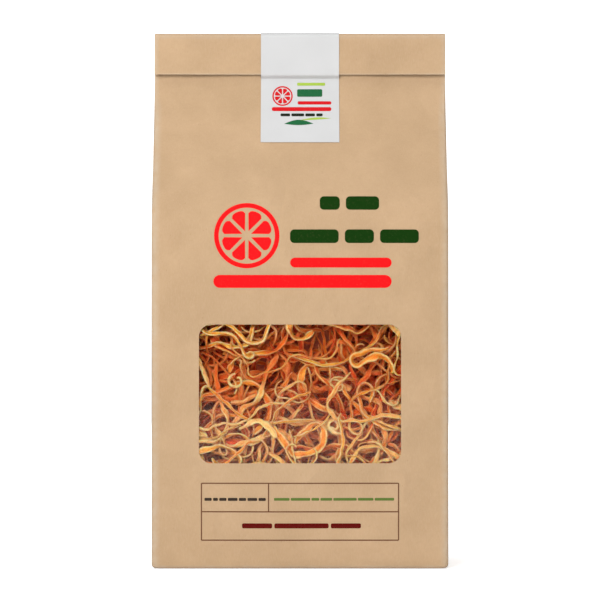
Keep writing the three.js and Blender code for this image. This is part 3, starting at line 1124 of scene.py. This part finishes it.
def stage_material():
    """Pale paper, lit from behind more and more up the wall, and seen brighter than it lights the bag."""
    material, tree, output = new_material("stage")
    place = place_vector(tree)
    tone = noise_value(tree, place, 3, 2)
    colour = mix_colour(tree, map_range(tree, tone, 0.3, 0.7), (0.78, 0.78, 0.78, 1), (0.8, 0.8, 0.8, 1))
    height = add(tree, "SeparateXYZ", Vector=place).outputs[2]
    seen = add(tree, "LightPath").outputs["Is Camera Ray"]
    glow = math_node(tree, "ADD", map_range(tree, height, 0, 0.3, 0.22, 0.63), math_node(tree, "MULTIPLY", seen, 0.3))
    shader = add(
        tree,
        "BsdfPrincipled",
        Base_Color=colour,
        Roughness=0.9,
        Specular_IOR_Level=0.1,
        Emission_Color=(1, 1, 1, 1),
        Emission_Strength=glow,
    )
    tree.links.new(shader.outputs[0], output.inputs[0])
    return material


# ---- Object ----

kraft = kraft_material()
white_paper = label_material()

finish_piece(make_bag(), kraft, "paper_bag")
finish_piece(make_film(), film_material(), "window_film")
finish_piece(make_label(), white_paper, "closure_label")

GOLD = strip_material(
    "peel_golden",
    ((1.0, 0.54, 0.075, 1), (0.9, 0.29, 0.025, 1)),
    ((1.0, 0.61, 0.23, 1), (0.98, 0.48, 0.12, 1)),
    (1.0, 0.7, 0.32, 1),
)
ORANGE = strip_material(
    "peel_orange",
    ((1.0, 0.44, 0.05, 1), (0.82, 0.2, 0.015, 1)),
    ((1.0, 0.52, 0.16, 1), (0.97, 0.4, 0.08, 1)),
    (1.0, 0.64, 0.27, 1),
)
BROWN = strip_material(
    "peel_brown",
    ((0.97, 0.25, 0.025, 1), (0.45, 0.06, 0.007, 1)),
    ((1.0, 0.35, 0.075, 1), (0.75, 0.15, 0.025, 1)),
    (1.0, 0.52, 0.17, 1),
)
for piece, material in zip(make_strips(), (GOLD, ORANGE, BROWN)):
    finish_piece(piece, material, "peel_strips")
finish_piece(make_core(), core_material(), "peel_strips")

RED = (0.642, 0.0055, 0.00734)
DARK_GREEN = (0.00367, 0.0275, 0.000917)
SMALL_GREEN = (0.0826, 0.128, 0.0275)
SMALL_DARK = (0.0321, 0.022, 0.0165)
DARK_RED = (0.0826, 0.00275, 0.00183)
LABEL_RED = (0.459, 0.00734, 0.011)
LABEL_GREEN = (0.011, 0.0917, 0.0321)
LABEL_LIME = (0.275, 0.385, 0.055)
LABEL_DARK = (0.011, 0.0147, 0.00917)
FRAME_BROWN = (0.11, 0.0459, 0.0248)

for name, shapes, colour in (
    ("print_red", red_shapes(), RED),
    ("print_green", green_shapes(), DARK_GREEN),
    ("print_frame", frame_shapes(), FRAME_BROWN),
    ("print_small_green", small_green_shapes(), SMALL_GREEN),
    ("print_small_dark", small_dark_shapes(), SMALL_DARK),
    ("print_small_red", small_red_shapes(), DARK_RED),
):
    finish_piece(lay_shapes(name, shapes, on_front), ink_material("ink_" + name, colour))

for name, shapes, colour in (
    ("label_print_red", label_red_shapes(), LABEL_RED),
    ("label_print_green", label_green_shapes(), LABEL_GREEN),
    ("label_print_lime", label_lime_shapes(), LABEL_LIME),
    ("label_print_dark", label_dark_shapes(), LABEL_DARK),
):
    finish_piece(lay_shapes(name, shapes, on_label), ink_material("ink_" + name, colour))

finish_piece(bottom_flap("bottom_flap_inner", 1, 0.26), kraft)
finish_piece(bottom_flap("bottom_flap_outer", -1, 0.13), kraft)

# ---- Stage, light and camera ----

STAGE_FLAT = 1.6
STAGE_REACH = 3.4


def turned(name, profile, steps=96):
    """A surface turned about the vertical axis from a profile of (reach, height), in metres."""
    vertices = []
    for reach, height in profile:
        for k in range(steps):
            turn = 2 * math.pi * k / steps
            vertices.append((reach * math.cos(turn) / MM, reach * math.sin(turn) / MM, height / MM))
    faces = []
    for r in range(len(profile) - 1):
        low = r * steps
        for k in range(steps):
            j = (k + 1) % steps
            faces.append([low + k, low + steps + k, low + steps + j, low + j])
    piece = new_object(name, vertices, faces)
    piece.location.z = -0.0002
    shade_smooth(piece)
    piece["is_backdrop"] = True
    return piece


def make_stage():
    """A pale floor, and round it a wall that curves up out of it and isn't mirrored in the film."""
    material = stage_material()
    floor = turned("stage_floor", [(0.0001, 0.0), (0.5, 0.0), (STAGE_FLAT, 0.0)])
    rise = STAGE_REACH - STAGE_FLAT
    turns = [math.pi / 2 * i / 16 for i in range(17)]
    profile = [(STAGE_FLAT + rise * math.sin(t), rise * (1 - math.cos(t))) for t in turns]
    wall = turned("stage_wall", profile)
    wall.visible_glossy = False
    for piece in (floor, wall):
        piece.data.materials.append(material)


def area_light(name, place, target, size, power, colour=(1, 1, 1)):
    light = bpy.data.lights.new(name, "AREA")
    light.size = size
    light.energy = power
    light.color = colour
    lamp = bpy.data.objects.new(name, light)
    lamp.location = place
    lamp.rotation_euler = (Vector(target) - Vector(place)).to_track_quat("-Z", "Y").to_euler()
    bpy.context.scene.collection.objects.link(lamp)
    return lamp


def make_world(strength):
    world = bpy.data.worlds.new("studio")
    world.use_nodes = True
    tree = world.node_tree
    tree.nodes.clear()
    glossy = add(tree, "LightPath").outputs["Is Glossy Ray"]
    colour = mix_colour(tree, glossy, (1, 1, 1, 1), (0.02, 0.02, 0.02, 1))
    background = add(tree, "Background", Color=colour, Strength=strength)
    output = tree.nodes.new("ShaderNodeOutputWorld")
    tree.links.new(background.outputs[0], output.inputs[0])
    bpy.context.scene.world = world


make_stage()
MIDDLE = (0, 0, 0.11)
area_light("key", (-0.34, -1.04, 0.6), MIDDLE, 0.5, 11.1)
area_light("top", (0, -0.4, 2.4), MIDDLE, 1.8, 25)
area_light("back", (-0.25, 1.3, 0.6), MIDDLE, 0.9, 4.5)
make_world(0.175)

CAMERA_HEIGHT = 108.5  # of the camera, level with the photographed bag's middle
CAMERA_DISTANCE = 1300  # from the front panel's edges
VIEW_WIDTH = 242.4  # what the frame takes in at that distance

camera_data = bpy.data.cameras.new("camera")
camera_data.sensor_width = 36
camera_data.lens = 36 * CAMERA_DISTANCE / VIEW_WIDTH
camera_data.clip_start = 0.05
camera = bpy.data.objects.new("camera", camera_data)
camera.location = (0, -(CAMERA_DISTANCE + BASE_HALF) * MM, CAMERA_HEIGHT * MM)
camera.rotation_euler = (math.pi / 2, 0, 0)
bpy.context.scene.collection.objects.link(camera)
bpy.context.scene.camera = camera
bpy.context.scene.view_settings.view_transform = "Standard"

boxes = {"cad": CAD_BOX, "visual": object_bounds()}
{name: [list(corner) for corner in pair] for name, pair in boxes.items()}
